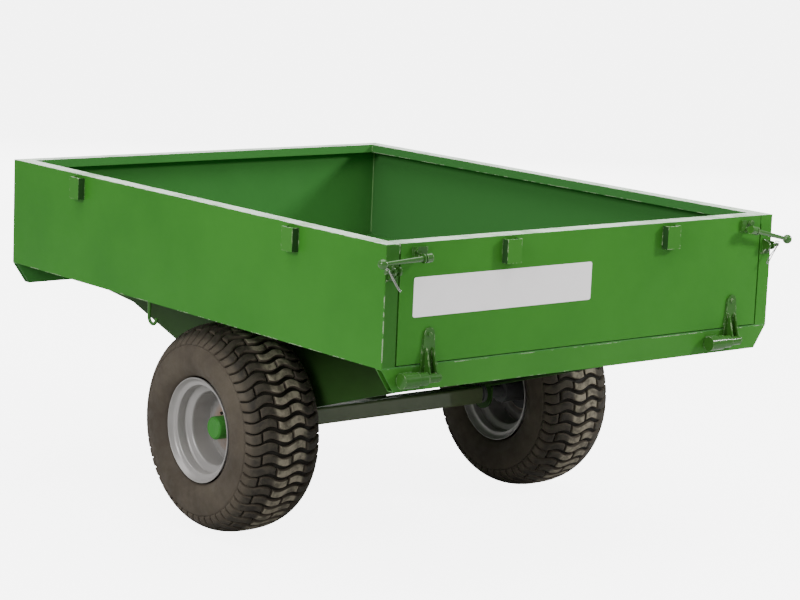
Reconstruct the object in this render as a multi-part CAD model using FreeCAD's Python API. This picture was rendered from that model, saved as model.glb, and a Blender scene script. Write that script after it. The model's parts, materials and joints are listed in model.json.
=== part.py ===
import FreeCAD, Part
import math
import os

# Lawn tractor trailer: a tipping sheet-steel box bed on a single axle, with a drop tailgate,
# a drawbar with a clevis hitch and a folding parking leg.
# Millimetres. +X points forward to the hitch, +Y to the left, +Z up.
# The model is laid out from the bed's rear face (x = 0) and the ground (z = 0), and is moved at
# the end so that the origin lies on the ground below the middle of the whole trailer.

# ---------------------------------------------------------------- driving dimensions
# Box bed
bed_length = 1440.0
bed_width = 1100.0
wall_height = 250.0
wall_sheet = 2.0
floor_sheet = 2.5
rim_width = 36.0
rim_drop = 20.0
post_width = 34.0
post_wall = 2.0
rail_height = 50.0
rail_depth = 20.0
rail_wall = 2.0
rail_end_inset = 34.0

# Tailgate
gate_depth = 41.0
gate_gap = 2.0
gate_side_gap = 4.0

# Tailgate hinges
hinge_from_side = 117.0
hinge_pin_diameter = 12.0
hinge_pin_below_walls = 24.0
hinge_pin_behind = 17.0
hinge_fit = 0.06
sleeve_diameter = 32.0
sleeve_length = 40.0
sleeve_weld_depth = 8.0
sleeve_weld_height = 12.0
collar_diameter = 27.0
collar_length = 24.0
strap_height = 72.0
strap_top_width = 26.0
strap_foot_width = 40.0
strap_plate = 4.0
strap_relief = 1.0
ear_spacing = 18.0
ear_plate = 3.0
ear_height = 60.0
ear_top_depth = 5.0
knuckle_diameter = 20.0
knuckle_length = 30.0

# Tailgate latches
latch_from_side = 84.0
latch_below_rim = 28.0
latch_standoff = 25.0
lever_diameter = 12.0
lever_neck_diameter = 8.0
lever_reach = 110.0
lever_droop_left = 5.0
lever_droop_right = 26.0
ball_diameter = 21.0
boss_diameter = 19.0
boss_length = 20.0
collar_gap = 3.0
latch_tab_length = 34.0
latch_tab_height = 26.0
latch_tab_rise = 7.0
latch_tab_thickness = 6.0
latch_stem_diameter = 12.0
keeper_width = 18.0
keeper_height = 28.0
keeper_depth = 22.0
keeper_nose_diameter = 19.0
keeper_plate = 4.0
keeper_clearance = 5.5
keeper_pin_diameter = 8.0
keeper_pin_length = 36.0

# Stake pockets
pocket_width = 38.0
pocket_depth = 17.0
pocket_height = 50.0
pocket_plate = 3.0
pocket_below_rim = 6.0
side_pocket_rear_x = 306.0
side_pocket_front_x = 1138.0
gate_pocket_from_side = 322.0

# Rope hooks below the side walls
hook_x = 827.0
hook_bar = 8.0
hook_drop = 52.0
hook_radius = 15.0

# Bed underframe
frame_plate_to_tyre = 18.5
frame_plate_thickness = 4.0
frame_slope = 0.31
frame_flange = 22.0
frame_end_height = 47.0
pivot_lug_radius = 36.0
cross_member_width = 40.0
cross_member_height = 30.0
cross_member_wall = 2.5
cross_member_rear_x = 330.0
cross_member_front_x = 1060.0

# Axle and spindles
axle_from_rear = 674.0
axle_below_walls = 263.0
axle_square = 40.0
axle_wall = 4.0
axle_corner = 5.0
axle_end_gap = 14.0
spindle_diameter = 30.0
spindle_nose_diameter = 25.0
spindle_nose_length = 110.0
bearing_fit = 0.05
bush_diameter = 46.0
bush_length = 22.0

# Wheels
track = 862.0
tyre_diameter = 470.0
tyre_width = 211.0
tyre_waist_diameter = 310.0
tyre_roundness = 2.5
tread_bars = 54
tread_columns = 6
tread_from_side = 7.5
tread_wave_height = 5.0
tread_groove_width = 8.5
tread_groove_depth = 6.5
bead_thickness = 14.0
tyre_side_thickness = 7.0
tyre_tread_thickness = 13.0
rim_flange_diameter = 234.0
rim_flange_span = 182.0
bead_diameter = 203.2
bead_width = 18.0
flange_width = 14.0
drop_diameter = 170.0
drop_width = 103.0
rim_sheet = 3.0
disc_offset = 9.0
disc_face_diameter = 120.0
hub_barrel_diameter = 56.0
hub_barrel_length = 76.0
hub_flange_diameter = 100.0
hub_flange_thickness = 6.0
hub_nose_diameter = 38.0
cap_diameter = 52.0
cap_length = 41.0
cap_wall = 2.5
cap_chamfer = 4.0
seat_gap = 0.3

# Drawbar and hitch
drawbar_square = 50.0
drawbar_wall = 4.0
drawbar_corner = 6.0
drawbar_end_from_rear = 2150.0
hitch_height = 380.0
clevis_plate = 8.0
clevis_gap = 30.0
clevis_width = 60.0
clevis_pin_from_face = 60.0
clevis_pin_diameter = 16.5
clevis_back_height = 62.0

# Bed rest on the drawbar
rest_length = 44.0
rest_plate = 5.0
rest_top = 6.0

# Bed latch in front of the rest
latch_plate_from_front = 25.0
bed_latch_plate = 6.0
bed_latch_width = 44.0
bed_latch_above_rail_base = 25.0
latch_tube_diameter = 24.0
latch_tube_length = 40.0
latch_bolt_diameter = 14.0
latch_bolt_clear = 5.0
latch_bolt_length = 74.0
latch_grip_diameter = 10.0
latch_grip_length = 64.0

# Parking leg
leg_behind_bed_front = 90.0
leg_pin_below_drawbar = 45.0
leg_pin_diameter = 12.0
leg_square = 40.0
leg_wall = 3.0
leg_lean = 5.0
leg_bush_diameter = 22.0
leg_cheek_plate = 6.0
leg_cheek_length = 84.0
leg_stop_diameter = 12.0
leg_stop_below_pin = 34.0
foot_length = 60.0
foot_width = 90.0
foot_plate = 6.0

# ---------------------------------------------------------------- derived places
tyre_radius = tyre_diameter / 2
axle_z = tyre_radius
wall_base_z = axle_z + axle_below_walls
rim_z = wall_base_z + wall_height
rail_base_z = wall_base_z - rail_height
floor_top_z = wall_base_z + floor_sheet
half_width = bed_width / 2
front_wall_x = bed_length - wall_sheet
gate_half_width = half_width - post_width - gate_side_gap
gate_base_z = floor_top_z + gate_gap
pin_x = -hinge_pin_behind
pin_z = wall_base_z - hinge_pin_below_walls
wheel_y = track / 2
plate_outer_y = wheel_y - tyre_width / 2 - frame_plate_to_tyre
plate_inner_y = plate_outer_y - frame_plate_thickness
axle_tube_half = plate_inner_y - axle_end_gap
hinge_y = half_width - hinge_from_side
gate_pocket_y = half_width - gate_pocket_from_side
drawbar_start_x = axle_from_rear + axle_square / 2
drawbar_rise = hitch_height - axle_z
drawbar_slope = drawbar_rise / (drawbar_end_from_rear - drawbar_start_x)
leg_pin_x = bed_length - leg_behind_bed_front
hitch_face_x = drawbar_end_from_rear + clevis_plate
hitch_pin_x = hitch_face_x + clevis_pin_from_face
front_reach = hitch_pin_x + clevis_width / 2
rear_reach = -max(latch_standoff + ball_diameter / 2, hinge_pin_behind + sleeve_diameter / 2)
origin_x = (front_reach + rear_reach) / 2

X_AXIS = FreeCAD.Vector(1, 0, 0)
Y_AXIS = FreeCAD.Vector(0, 1, 0)
Z_AXIS = FreeCAD.Vector(0, 0, 1)


# ---------------------------------------------------------------- shape helpers
def vector(x, y, z):
    return FreeCAD.Vector(x, y, z)


def block(x0, x1, y0, y1, z0, z1):
    """Box between two opposite corners, given in any order."""
    low = vector(min(x0, x1), min(y0, y1), min(z0, z1))
    return Part.makeBox(abs(x1 - x0), abs(y1 - y0), abs(z1 - z0), low)


def plate_xz(points, y0, y1):
    """Flat plate with an outline in the XZ plane, between two y values."""
    low = min(y0, y1)
    corners = [vector(x, low, z) for x, z in points]
    face = Part.Face(Part.makePolygon(corners + corners[:1]))
    return face.extrude(vector(0, abs(y1 - y0), 0))


def plate_yz(points, x0, x1):
    """Flat plate with an outline in the YZ plane, between two x values."""
    low = min(x0, x1)
    corners = [vector(low, y, z) for y, z in points]
    face = Part.Face(Part.makePolygon(corners + corners[:1]))
    return face.extrude(vector(abs(x1 - x0), 0, 0))


def rod_y(x, z, diameter, y0, y1):
    """Round bar along Y."""
    low = min(y0, y1)
    return Part.makeCylinder(diameter / 2, abs(y1 - y0), vector(x, low, z), Y_AXIS)


def rod_x(y, z, diameter, x0, x1):
    """Round bar along X."""
    low = min(x0, x1)
    return Part.makeCylinder(diameter / 2, abs(x1 - x0), vector(low, y, z), X_AXIS)


def join(shapes):
    """One solid from pieces that overlap or touch."""
    return shapes[0].fuse(shapes[1:]).removeSplitter()


def mirrored(shape):
    """The same piece on the other side of the trailer."""
    return shape.mirror(vector(0, 0, 0), Y_AXIS)


def for_side(shape, side):
    """A piece modelled on the left, put on its own side (+1 left, -1 right)."""
    return shape if side > 0 else mirrored(shape)


def rounded_square(x, y, z, size, radius):
    """Closed square outline with round corners in a YZ plane, about its middle."""
    reach = size / 2
    flat = reach - radius
    bend = radius * math.sin(math.radians(45))
    edges = []
    for turn in range(4):
        angle = math.radians(90 * turn)

        def at(v, w):
            """Point of the first quarter, turned to this one."""
            return vector(x, y + v * math.cos(angle) - w * math.sin(angle),
                          z + v * math.sin(angle) + w * math.cos(angle))

        edges.append(Part.LineSegment(at(reach, -flat), at(reach, flat)).toShape())
        corner = Part.Arc(at(reach, flat), at(flat + bend, flat + bend), at(flat, reach))
        edges.append(corner.toShape())
    return Part.Wire(edges)


def square_tube(x, y, z, size, wall, radius, along):
    """Square tube with round corners, its ends cut parallel to the YZ plane."""
    outer = Part.Face(rounded_square(x, y, z, size, radius))
    inner = Part.Face(rounded_square(x, y, z, size - 2 * wall, radius - wall / 2))
    return outer.extrude(along).cut(inner.extrude(along))


# ---------------------------------------------------------------- box bed
def floor_panel():
    """Flat sheet that lies on both rails, between the walls."""
    inner = half_width - wall_sheet
    return block(0, front_wall_x, -inner, inner, wall_base_z, floor_top_z)


def side_wall(side):
    """One folded sheet: the wall, its flat rim and the rim's turned-down edge."""
    outer = half_width
    inner = half_width - rim_width
    profile = [
        (outer, wall_base_z),
        (outer, rim_z),
        (inner, rim_z),
        (inner, rim_z - rim_drop),
        (inner + wall_sheet, rim_z - rim_drop),
        (inner + wall_sheet, rim_z - wall_sheet),
        (outer - wall_sheet, rim_z - wall_sheet),
        (outer - wall_sheet, wall_base_z),
    ]
    return for_side(plate_yz(profile, 0, bed_length), side)


def front_wall():
    """Folded sheet between the side walls, with the same rim."""
    x = bed_length
    inner = bed_length - rim_width
    profile = [
        (x, wall_base_z),
        (x, rim_z),
        (inner, rim_z),
        (inner, rim_z - rim_drop),
        (inner + wall_sheet, rim_z - rim_drop),
        (inner + wall_sheet, rim_z - wall_sheet),
        (x - wall_sheet, rim_z - wall_sheet),
        (x - wall_sheet, wall_base_z),
    ]
    reach = half_width - rim_width
    middle = plate_xz(profile, -reach, reach)
    side_reach = half_width - wall_sheet
    pieces = [middle]
    pieces.append(block(x - wall_sheet, x, -side_reach, side_reach, wall_base_z,
                        rim_z - rim_drop))
    for side in (-1, 1):
        pieces.append(block(x - wall_sheet, x, side * (reach + wall_sheet), side * side_reach,
                            rim_z - rim_drop, rim_z - wall_sheet))
    return join(pieces)


def corner_post(side):
    """Hollow post that closes the rear end of a side wall and holds the tailgate's edge."""
    outer = half_width - wall_sheet
    inner = half_width - post_width
    top = rim_z - wall_sheet
    shell = block(0, gate_depth, inner, outer, floor_top_z, top)
    hollow = block(post_wall, gate_depth - post_wall, inner + post_wall, outer - post_wall,
                   floor_top_z, top)
    return for_side(shell.cut(hollow), side)


def rail(x0):
    """Hollow cross rail below the floor, both ends cut on a slant."""
    outline = [
        (-half_width, wall_base_z),
        (-half_width + rail_end_inset, rail_base_z),
        (half_width - rail_end_inset, rail_base_z),
        (half_width, wall_base_z),
    ]
    body = plate_yz(outline, x0, x0 + rail_depth)
    hollow = block(x0 + rail_wall, x0 + rail_depth - rail_wall, -half_width, half_width,
                   rail_base_z + rail_wall, wall_base_z - rail_wall)
    return body.cut(hollow)


# ---------------------------------------------------------------- bed underframe
def frame_height(x):
    """Height of the lower edge of a frame plate at x."""
    from_rear = wall_base_z - frame_end_height - frame_slope * (x - rail_depth)
    from_front = wall_base_z - frame_end_height - frame_slope * (bed_length - rail_depth - x)
    return max(from_rear, from_front)


def frame_plate(side):
    """V-shaped plate that carries the floor and turns on the axle, its lower edge flanged."""
    rear = rail_depth
    front = bed_length - rail_depth
    low_x = bed_length / 2
    low_z = frame_height(low_x)
    end_z = wall_base_z - frame_end_height
    outline = [
        (rear, wall_base_z),
        (rear, end_z),
        (low_x, low_z),
        (front, end_z),
        (front, wall_base_z),
    ]
    web = plate_xz(outline, plate_inner_y, plate_outer_y)
    t = frame_plate_thickness
    lower_flange = [
        (rear, end_z),
        (low_x, low_z),
        (front, end_z),
        (front, end_z + t),
        (low_x, low_z + t),
        (rear, end_z + t),
    ]
    flange = plate_xz(lower_flange, plate_outer_y - frame_flange, plate_outer_y)
    lug = rod_y(axle_from_rear, axle_z, 2 * pivot_lug_radius, plate_inner_y, plate_outer_y)
    lug_root = block(axle_from_rear - pivot_lug_radius, axle_from_rear + pivot_lug_radius,
                     plate_inner_y, plate_outer_y, axle_z, frame_height(axle_from_rear) + 2 * t)
    space = block(axle_from_rear - pivot_lug_radius, axle_from_rear + pivot_lug_radius,
                  plate_inner_y - frame_flange, plate_inner_y, axle_z - pivot_lug_radius,
                  axle_z + pivot_lug_radius)
    bore = rod_y(axle_from_rear, axle_z, bush_diameter, plate_inner_y - t, plate_outer_y + t)
    return for_side(join([web, flange.cut(space), lug, lug_root]).cut(bore), side)


def pivot_bush(side):
    """Thick bush in a frame plate that turns on the spindle."""
    middle = (plate_inner_y + plate_outer_y) / 2
    y0 = middle - bush_length / 2
    y1 = middle + bush_length / 2
    body = rod_y(axle_from_rear, axle_z, bush_diameter, y0, y1)
    bore = rod_y(axle_from_rear, axle_z, spindle_diameter + 2 * bearing_fit, y0, y1)
    return for_side(body.cut(bore), side)


def cross_member(x):
    """Channel below the floor between the frame plates, open side down."""
    half = cross_member_width / 2
    w = cross_member_wall
    low = wall_base_z - cross_member_height
    outline = [
        (x - half, low),
        (x - half, wall_base_z),
        (x + half, wall_base_z),
        (x + half, low),
        (x + half - w, low),
        (x + half - w, wall_base_z - w),
        (x - half + w, wall_base_z - w),
        (x - half + w, low),
    ]
    return plate_xz(outline, -plate_inner_y, plate_inner_y)


# ---------------------------------------------------------------- stake pockets and hooks
def pocket(middle_x):
    """Channel open at both ends, on the left wall's outer face, that takes a stake."""
    half = pocket_width / 2
    top = rim_z - pocket_below_rim
    low = top - pocket_height
    y0 = half_width
    y1 = half_width + pocket_depth
    body = block(middle_x - half, middle_x + half, y0, y1, low, top)
    slot = block(middle_x - half + pocket_plate, middle_x + half - pocket_plate,
                 y0, y1 - pocket_plate, low, top)
    return body.cut(slot)


def side_pockets(side):
    """The two pockets of one side wall."""
    pair = Part.makeCompound([pocket(side_pocket_rear_x), pocket(side_pocket_front_x)])
    return for_side(pair, side)


def gate_pockets():
    """The tailgate's two pockets, on its outer face."""
    half = pocket_width / 2
    top = rim_z - pocket_below_rim
    low = top - pocket_height
    pockets = []
    for middle_y in (-gate_pocket_y, gate_pocket_y):
        body = block(-pocket_depth, 0, middle_y - half, middle_y + half, low, top)
        slot = block(-pocket_depth + pocket_plate, 0, middle_y - half + pocket_plate,
                     middle_y + half - pocket_plate, low, top)
        pockets.append(body.cut(slot))
    return Part.makeCompound(pockets)


def rope_hook(side):
    """Round bar bent to a hook, welded under the lower edge of a side wall."""
    y = half_width - hook_bar / 2
    low_z = wall_base_z - hook_drop + hook_bar / 2
    centre_z = low_z + hook_radius
    front_x = hook_x + hook_radius
    top = vector(front_x, y, wall_base_z)
    bend_start = vector(front_x, y, centre_z)
    bottom = vector(hook_x, y, low_z)
    tip = vector(hook_x - hook_radius, y, centre_z)
    path = Part.Wire([
        Part.LineSegment(top, bend_start).toShape(),
        Part.Arc(bend_start, bottom, tip).toShape(),
    ])
    ring = Part.Wire(Part.makeCircle(hook_bar / 2, top, Z_AXIS))
    bar = Part.makeSolid(path.makePipeShell([ring], True, False))
    return for_side(bar, side)


# ---------------------------------------------------------------- tailgate
def tailgate_panel():
    """Folded pan: outer sheet, turned-in side and lower edges, and a box rim along the top."""
    top = rim_z
    shell = block(0, gate_depth, -gate_half_width, gate_half_width, gate_base_z, top)
    t = wall_sheet
    pan = block(t, gate_depth, -gate_half_width + t, gate_half_width - t,
                gate_base_z + t, top - rim_drop)
    rim_hollow = block(t, gate_depth - t, -gate_half_width + t, gate_half_width - t,
                       top - rim_drop, top - t)
    return shell.cut(pan).cut(rim_hollow)


def hinge_strap(middle_y):
    """Tapered strap on the tailgate with two ears and the knuckle that turns on the pin."""
    base_z = gate_base_z
    top_z = base_z + strap_height
    half_top = strap_top_width / 2
    half_foot = strap_foot_width / 2
    foot_z = pin_z + knuckle_diameter / 2
    outline = [
        (middle_y - half_foot, foot_z),
        (middle_y + half_foot, foot_z),
        (middle_y + half_top, top_z - half_top),
        (middle_y - half_top, top_z - half_top),
    ]
    tapered = plate_yz(outline, -strap_plate, 0)
    round_top = rod_x(middle_y, top_z - half_top, strap_top_width, -strap_plate, 0)
    rivet = rod_x(middle_y, top_z - half_top, strap_top_width / 3, -strap_plate - ear_plate, 0)
    pieces = [tapered, round_top, rivet]
    for y in (middle_y - ear_spacing / 2, middle_y + ear_spacing / 2):
        ear = [
            (-strap_plate, pin_z + ear_height),
            (-strap_plate, pin_z),
            (pin_x, pin_z),
            (pin_x - knuckle_diameter / 2 + ear_plate / 2, pin_z),
            (-strap_plate - ear_top_depth, pin_z + ear_height - ear_top_depth / 2),
        ]
        pieces.append(plate_xz(ear, y - ear_plate / 2, y + ear_plate / 2))
    half = knuckle_length / 2
    pieces.append(rod_y(pin_x, pin_z, knuckle_diameter, middle_y - half, middle_y + half))
    relief = block(-strap_relief, 0, middle_y - half_foot, middle_y + half_foot,
                   pin_z - knuckle_diameter, gate_base_z)
    bore = rod_y(pin_x, pin_z, hinge_pin_diameter + 2 * hinge_fit, middle_y - half_foot,
                 middle_y + half_foot)
    return join(pieces).cut(relief).cut(bore)


def hinge_pin(middle_y):
    """Sleeve welded on the rear rail, left of the strap, with its collar and fixed pin."""
    strap_edge = middle_y + knuckle_length / 2 + seat_gap
    collar_end = strap_edge + collar_length
    sleeve_end = collar_end + sleeve_length
    collar = rod_y(pin_x, pin_z, collar_diameter, strap_edge, collar_end)
    sleeve = rod_y(pin_x, pin_z, sleeve_diameter, collar_end, sleeve_end)
    saddle = block(-sleeve_weld_depth, 0, collar_end + sleeve_weld_depth / 2,
                   sleeve_end - sleeve_weld_depth / 2, pin_z - sleeve_weld_height / 2,
                   pin_z + sleeve_weld_height / 2)
    pin_tip = middle_y - knuckle_length / 2 - hinge_pin_diameter / 2
    pin = rod_y(pin_x, pin_z, hinge_pin_diameter, pin_tip, sleeve_end)
    return join([collar, sleeve, saddle, pin])


# ---------------------------------------------------------------- tailgate latches
def latch_lever(side, droop):
    """Ball-ended lever whose boss stands off the tailgate, lying across the post."""
    pivot_y = half_width - latch_from_side
    pivot_z = rim_z - latch_below_rim
    start = vector(-latch_standoff, pivot_y, pivot_z)
    end = vector(-latch_standoff, pivot_y + lever_reach, pivot_z - droop)
    along = end.sub(start).normalize()
    boss_start = start.sub(along * (boss_length / 2))
    boss = Part.makeCylinder(boss_diameter / 2, boss_length, boss_start, along)
    groove_at = start.add(along * (boss_length / 2 - collar_gap * 2))
    groove = Part.makeCylinder(boss_diameter, collar_gap, groove_at, along)
    core = Part.makeCylinder(lever_diameter / 2, boss_length, boss_start, along)
    tapered = Part.makeCone(lever_diameter / 2, lever_neck_diameter / 2, lever_reach, start,
                            along)
    ball = Part.makeSphere(ball_diameter / 2, end)
    stem = rod_x(pivot_y, pivot_z, latch_stem_diameter, -latch_standoff, 0)
    tab_middle = pivot_z + latch_tab_rise
    tab_low = tab_middle - latch_tab_height / 2
    half = latch_tab_length / 2
    tab = block(-latch_tab_thickness, 0, pivot_y - half, pivot_y + half, tab_low,
                tab_low + latch_tab_height)
    stud = rod_x(pivot_y + half / 2, tab_middle + latch_tab_height / 4, latch_stem_diameter,
                 -2 * latch_tab_thickness, 0)
    return for_side(join([boss.cut(groove), core, tapered, ball, stem, tab, stud]), side)


def latch_keeper(side, droop):
    """Fork on the corner post, cut to the slope of the lever above it, with its cross pin."""
    middle_y = half_width - post_width / 2
    pivot_y = half_width - latch_from_side
    inner_y = middle_y - keeper_width / 2
    outer_y = middle_y + keeper_width / 2

    def under_lever(y):
        lever_z = rim_z - latch_below_rim - droop * (y - pivot_y) / lever_reach
        return lever_z - lever_diameter / 2 - keeper_clearance

    low = under_lever(outer_y) - keeper_height
    p = keeper_plate
    outline = [
        (inner_y, low),
        (inner_y, under_lever(inner_y)),
        (outer_y, under_lever(outer_y)),
        (outer_y, low),
    ]
    pieces = [plate_yz(outline, -p, 0)]
    nose_x = -keeper_depth + keeper_nose_diameter / 2
    nose_z = under_lever(outer_y) - keeper_nose_diameter / 2
    for y0 in (inner_y, outer_y - p):
        cheek = [
            (0, low),
            (0, under_lever(y0 + p)),
            (nose_x, nose_z + keeper_nose_diameter / 2),
            (nose_x, nose_z - keeper_nose_diameter / 2 + p),
        ]
        pieces.append(plate_xz(cheek, y0, y0 + p))
        pieces.append(rod_y(nose_x, nose_z, keeper_nose_diameter, y0, y0 + p))
    pieces.append(rod_y(nose_x, nose_z, keeper_pin_diameter, inner_y,
                        inner_y + keeper_pin_length))
    return for_side(join(pieces), side)


# ---------------------------------------------------------------- wheels
def turned(profile, side):
    """Solid of revolution about the wheel axis; profile holds (outward, radius) points."""
    corners = [vector(axle_from_rear, wheel_y + a, axle_z + r) for a, r in profile]
    face = Part.Face(Part.makePolygon(corners + corners[:1]))
    body = face.revolve(vector(axle_from_rear, wheel_y, axle_z), Y_AXIS, 360)
    return for_side(body, side)


def tyre_skin(a):
    """Radius of the tyre's outer form at a distance from its middle plane."""
    waist = tyre_waist_diameter / 2
    share = abs(a) / (tyre_width / 2)
    rise = (1 - share ** tyre_roundness) ** (1 / tyre_roundness)
    return waist + (tyre_radius - waist) * rise


def wheel_ring(a, corners):
    """Closed ring of corners, given as (radius, turn), about the left wheel's axis."""
    return [vector(axle_from_rear + radius * math.sin(turn), wheel_y + a,
                   axle_z + radius * math.cos(turn)) for radius, turn in corners]


def even_ring(a, radius, steps):
    """Ring with even steps, whose flats touch a circle of the given radius."""
    corner_radius = radius / math.cos(math.pi / steps)
    return wheel_ring(a, [(corner_radius, 2 * math.pi * i / steps) for i in range(steps)])


def tread_ring(a, wave):
    """Ring over the tread: groove bottom and both edges of each bar, shifted by the wave."""
    top = tyre_skin(a)
    edge = tread_groove_width / 2 / tyre_radius
    shift = wave / tyre_radius
    pitch = 2 * math.pi / tread_bars
    corners = []
    for bar in range(tread_bars):
        start = bar * pitch + shift
        corners.append((top - tread_groove_depth, start))
        corners.append((top, start + edge))
        corners.append((top, start + pitch - edge))
    return wheel_ring(a, corners)


def band(first, second):
    """Flat three-cornered faces that join two closed rings of corners."""
    faces = []
    i = 0
    j = 0
    while i < len(first) or j < len(second):
        corners = [first[i % len(first)], second[j % len(second)]]
        if (i + 1) * len(second) < (j + 1) * len(first):
            i += 1
            corners.append(first[i % len(first)])
        else:
            j += 1
            corners.append(second[j % len(second)])
        faces.append(Part.Face(Part.makePolygon(corners + corners[:1])))
    return faces


def tyre(side):
    """Hollow turf tyre in flat facets: beads, round walls and a tread of waved cross bars.

    Both tyres come from one mould and one is turned round, so the wave isn't mirrored.
    """
    few = tread_bars // 3
    some = tread_bars // 2
    seat = rim_flange_span / 2 - flange_width - seat_gap
    toe = seat - bead_thickness
    bead_r = bead_diameter / 2 + seat_gap
    lip = rim_flange_span / 2 + rim_sheet
    lip_r = rim_flange_diameter / 2 + seat_gap
    waist_r = tyre_waist_diameter / 2
    tread_half = tyre_width / 2 - tread_from_side
    column = 2 * tread_half / tread_columns
    lining_a = tread_half - column / 2
    lining_r = tyre_skin(lining_a) - tyre_tread_thickness
    crown_r = tyre_skin(column) - tyre_tread_thickness

    near_half = [
        even_ring(seat, bead_r, few),
        even_ring(seat, lip_r, few),
        even_ring(lip, lip_r, some),
        even_ring(tyre_width / 2, waist_r, tread_bars),
        even_ring(tread_half, tyre_skin(tread_half), tread_bars),
    ]
    lining = [
        even_ring(column, crown_r * math.cos(math.pi / few), few),
        even_ring(lining_a, lining_r * math.cos(math.pi / few), few),
        even_ring(tyre_width / 2 - tyre_side_thickness, waist_r, few),
        even_ring(toe, bead_r, few),
    ]
    far_half = [[vector(c.x, 2 * wheel_y - c.y, c.z) for c in ring] for ring in near_half]
    far_lining = [[vector(c.x, 2 * wheel_y - c.y, c.z) for c in ring] for ring in lining]
    tread = []
    for row in range(tread_columns):
        a = tread_half - column * (row + 0.5)
        wave = side * tread_wave_height * (-1) ** row
        tread.append(tread_ring(a, -wave))
    rings = near_half + tread + far_half[::-1] + far_lining[::-1] + lining
    faces = []
    for first, second in zip(rings, rings[1:] + rings[:1]):
        faces += band(first, second)
    return for_side(Part.makeSolid(Part.makeShell(faces)), side)


def rim(side):
    """Pressed rim: two flanges, bead seats, drop centre and a stepped disc."""
    t = rim_sheet
    edge = rim_flange_span / 2
    flange_r = rim_flange_diameter / 2
    seat_r = bead_diameter / 2
    drop_r = drop_diameter / 2
    seat_out = edge - flange_width
    seat_in = seat_out - bead_width
    drop_half = drop_width / 2
    outer_line = [
        (edge, flange_r),
        (seat_out, flange_r - t),
        (seat_out, seat_r),
        (seat_in, seat_r - t / 2),
        (drop_half, drop_r),
    ]
    inner_line = [
        (drop_half + t, drop_r - t),
        (seat_in + t, seat_r - t - t / 2),
        (seat_out + t, seat_r - t),
        (seat_out + t, flange_r - 2 * t),
        (edge, flange_r - t),
    ]
    barrel = outer_line + [(-a, r) for a, r in reversed(outer_line)]
    barrel += [(-a, r) for a, r in reversed(inner_line)] + inner_line
    face_r = disc_face_diameter / 2
    hole_r = cap_diameter / 2 + seat_gap
    out = disc_offset
    back = disc_offset - t
    step = disc_offset - 2 * t - t
    disc = [
        (out, hole_r),
        (out, face_r),
        (step, face_r + t),
        (step, drop_r - t),
        (step - t, drop_r - t),
        (step - t, face_r),
        (back, face_r - t),
        (back, hole_r),
    ]
    return join([turned(barrel, side), turned(disc, side)])


def hub(side):
    """Hub with its bearing barrel and flange behind the disc, turning on the spindle."""
    back = disc_offset - rim_sheet
    inner = back - hub_barrel_length
    bore_r = spindle_nose_diameter / 2 + bearing_fit
    nose = disc_offset + cap_length - cap_wall - seat_gap
    profile = [
        (inner, bore_r),
        (inner, hub_barrel_diameter / 2),
        (back - hub_flange_thickness, hub_barrel_diameter / 2),
        (back - hub_flange_thickness, hub_flange_diameter / 2),
        (back, hub_flange_diameter / 2),
        (back, hub_nose_diameter / 2),
        (nose, hub_nose_diameter / 2),
        (nose, bore_r),
    ]
    return turned(profile, side)


def hub_cap(side):
    """Turned cap over the hub nose, with a chamfered end."""
    r = cap_diameter / 2
    inner_r = hub_nose_diameter / 2 + seat_gap
    start = disc_offset - rim_sheet
    end = disc_offset + cap_length
    profile = [
        (start, inner_r),
        (start, r),
        (end - cap_chamfer, r),
        (end, r - cap_chamfer),
        (end, 0),
        (end - cap_wall, 0),
        (end - cap_wall, inner_r),
    ]
    return turned(profile, side)


# ---------------------------------------------------------------- axle and drawbar
def axle_tube():
    """Square tube between the bed's frame plates."""
    outline = square_tube(0, 0, 0, axle_square, axle_wall, axle_corner,
                          vector(2 * axle_tube_half, 0, 0))
    outline.rotate(vector(0, 0, 0), Z_AXIS, 90)
    outline.translate(vector(axle_from_rear, -axle_tube_half, axle_z))
    return outline


def spindle(side):
    """Turned spindle with a collar welded on the axle's end, a bush seat and the hub's nose."""
    hub_inner = wheel_y + disc_offset - rim_sheet - hub_barrel_length
    shoulder = hub_inner - seat_gap
    collar_end = axle_tube_half + axle_wall
    collar = rod_y(axle_from_rear, axle_z, axle_square - axle_wall, axle_tube_half, collar_end)
    seat = rod_y(axle_from_rear, axle_z, spindle_diameter, axle_tube_half, shoulder)
    nose = rod_y(axle_from_rear, axle_z, spindle_nose_diameter, shoulder,
                 shoulder + spindle_nose_length)
    return for_side(join([collar, seat, nose]), side)


def drawbar_z(x):
    """Height of the drawbar's middle line at x."""
    return axle_z + drawbar_slope * (x - drawbar_start_x)


def drawbar_top(x):
    """Height of the drawbar's upper face at x."""
    return drawbar_z(x) + drawbar_square / 2 * math.hypot(1, drawbar_slope)


def drawbar():
    """Square tube from the axle's front face up to the hitch."""
    along = vector(drawbar_end_from_rear - drawbar_start_x, 0, drawbar_rise)
    return square_tube(drawbar_start_x, 0, axle_z, drawbar_square, drawbar_wall,
                       drawbar_corner, along)


def axle_gussets():
    """Flat triangles in the corners between the axle and the drawbar."""
    size = 1.4 * drawbar_square
    y0 = drawbar_square / 2
    half = axle_wall / 2
    pieces = []
    for side in (-1, 1):
        corners = [
            vector(drawbar_start_x, side * y0, axle_z - half),
            vector(drawbar_start_x, side * (y0 + size), axle_z - half),
            vector(drawbar_start_x + size, side * y0, axle_z - half),
        ]
        face = Part.Face(Part.makePolygon(corners + corners[:1]))
        pieces.append(face.extrude(vector(0, 0, axle_wall)))
    return Part.makeCompound(pieces)


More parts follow.
